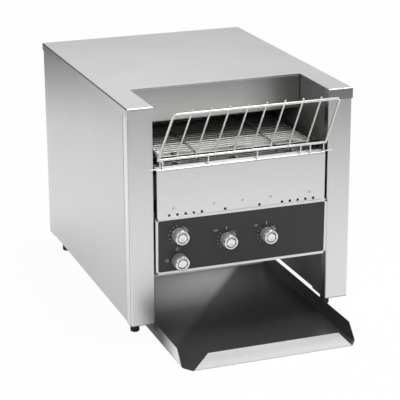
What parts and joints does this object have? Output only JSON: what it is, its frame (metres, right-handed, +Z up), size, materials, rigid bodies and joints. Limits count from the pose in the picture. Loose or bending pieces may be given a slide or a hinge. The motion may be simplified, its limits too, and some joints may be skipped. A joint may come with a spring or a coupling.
{
  "type": "conveyor toaster",
  "caption": "Countertop conveyor toaster: stainless case with loading notch, wire feed rack, flat wire belt, heating tunnel, dial control panel and low discharge tray.",
  "frame": {"origin": "on the table, at the middle of the part's length and width", "axes": "+Z up, +Y from the loading side to the rear, +X to the operator's right"},
  "size_m": [0.467, 0.7821, 0.4831],
  "materials": {
    "cover_steel": "brushed, satin",
    "post_steel": "brushed, satin",
    "side_steel": "brushed, satin",
    "rear_steel": "brushed, satin",
    "galvanised_steel": "plain mill finish",
    "inner_wall_steel": "satin, heat dulled",
    "hood_steel": "satin",
    "front_panel_steel": "fine satin",
    "bezel_steel": "fine satin",
    "overlay_film": "matte film",
    "knob_metal": "satin with turned rings",
    "shaft_steel": "turned",
    "control_plastic": "moulded",
    "board_plastic": "moulded",
    "nut_metal": "plated",
    "rack_wire": "polished wire",
    "belt_wire": "drawn stainless wire",
    "plate_steel": "satin",
    "guide_black": "matte black",
    "sprocket_steel": "machined",
    "bushing_bronze": "sintered bronze",
    "chain_steel": "oiled",
    "motor_black": "satin black",
    "element_sheath": "heat darkened sheath",
    "ceramic": "unglazed ceramic",
    "reflector_steel": "bright",
    "chute_steel": "satin",
    "tray_coated": "black non-stick inside, stainless outside",
    "fan_plastic": "moulded",
    "terminal_plastic": "moulded",
    "gland_plastic": "moulded nylon",
    "foot_rubber": "matte",
    "screw_steel": "plated"
  },
  "bodies": {
    "case": {"top_cover": "cover_steel", "left_front_post": "post_steel", "right_front_post": "post_steel", "left_side_panel": "side_steel", "right_side_panel": "side_steel", "left_rear_post": "post_steel", "right_rear_post": "post_steel", "rear_panel": "rear_steel", "left_base_channel": "galvanised_steel", "right_base_channel": "galvanised_steel", "rear_cross_rail": "galvanised_steel", "left_inner_wall": "inner_wall_steel", "right_inner_wall": "inner_wall_steel", "hood_panel": "hood_steel", "front_panel": "front_panel_steel", "front_cross_rail": "galvanised_steel", "control_panel": "bezel_steel", "control_overlay": "overlay_film", "speed_control": "board_plastic", "power_switch": "control_plastic", "top_heat_switch": "control_plastic", "bottom_heat_switch": "control_plastic", "control_nuts": "nut_metal", "conveyor_belt": "belt_wire", "belt_support_plate": "plate_steel", "belt_edge_guides": "guide_black", "axle_bushings": "bushing_bronze", "drive_chain": "chain_steel", "gear_motor": "motor_black", "top_elements": "element_sheath", "bottom_elements": "element_sheath", "element_insulators": "ceramic", "top_reflector": "reflector_steel", "bottom_reflector": "reflector_steel", "heat_shield": "galvanised_steel", "control_shelf": "galvanised_steel", "toast_chute": "chute_steel", "fan_frame": "fan_plastic", "terminal_block": "terminal_plastic", "cord_gland": "gland_plastic", "feet": "foot_rubber", "foot_studs": "screw_steel", "rear_screws": "screw_steel"},
    "speed_dial": {"speed_knob": "knob_metal", "speed_shaft": "shaft_steel"},
    "power_dial": {"power_knob": "knob_metal", "power_shaft": "shaft_steel"},
    "top_heat_dial": {"top_heat_knob": "knob_metal", "top_heat_shaft": "shaft_steel"},
    "bottom_heat_dial": {"bottom_heat_knob": "knob_metal", "bottom_heat_shaft": "shaft_steel"},
    "drive_axle": {"drive_shaft": "shaft_steel", "drive_sprockets": "sprocket_steel", "drive_chain_wheel": "sprocket_steel"},
    "idler_axle": {"idler_shaft": "shaft_steel", "idler_sprockets": "sprocket_steel"},
    "motor_output": {"motor_chain_wheel": "sprocket_steel"},
    "fan": {"fan_rotor": "fan_plastic"},
    "rack": {"wire_rack": "rack_wire"},
    "tray": {"discharge_tray": "tray_coated"}
  },
  "joints": [
    {"name": "speed_turn", "type": "hinge", "parent": "case", "child": "speed_dial", "pos_m": [-0.1336, -0.2248, 0.2136], "axis": [0, 1, 0], "range_deg": [0, 270]},
    {"name": "power_turn", "type": "hinge", "parent": "case", "child": "power_dial", "pos_m": [-0.1336, -0.2248, 0.161], "axis": [0, 1, 0], "range_deg": [0, 90]},
    {"name": "top_heat_turn", "type": "hinge", "parent": "case", "child": "top_heat_dial", "pos_m": [-0.033, -0.2248, 0.1918], "axis": [0, 1, 0], "range_deg": [-90, 180]},
    {"name": "bottom_heat_turn", "type": "hinge", "parent": "case", "child": "bottom_heat_dial", "pos_m": [0.0519, -0.2248, 0.1918], "axis": [0, 1, 0], "range_deg": [-90, 180]},
    {"name": "drive_spin", "type": "hinge", "parent": "case", "child": "drive_axle", "pos_m": [0, -0.1704, 0.33882], "axis": [-1, 0, 0], "continuous": true},
    {"name": "idler_spin", "type": "hinge", "parent": "case", "child": "idler_axle", "pos_m": [0, 0.2886, 0.33882], "axis": [-1, 0, 0], "continuous": true},
    {"name": "motor_spin", "type": "hinge", "parent": "case", "child": "motor_output", "pos_m": [0.19, -0.05928, 0.20002], "axis": [-1, 0, 0], "continuous": true},
    {"name": "fan_spin", "type": "hinge", "parent": "case", "child": "fan", "pos_m": [-0.06, 0.0686, 0.1834], "axis": [0, 1, 0], "continuous": true},
    {"name": "rack_lift", "type": "slide", "parent": "case", "child": "rack", "axis": [0, 0, 1], "range_m": [0, 0.06]},
    {"name": "tray_slide", "type": "slide", "parent": "case", "child": "tray", "axis": [0, -1, 0], "range_m": [0, 0.3]}
  ],
  "couplings": [
    {"joint": "idler_spin", "follows": "drive_spin", "ratio": 1},
    {"joint": "motor_spin", "follows": "drive_spin", "ratio": 1}
  ]
}
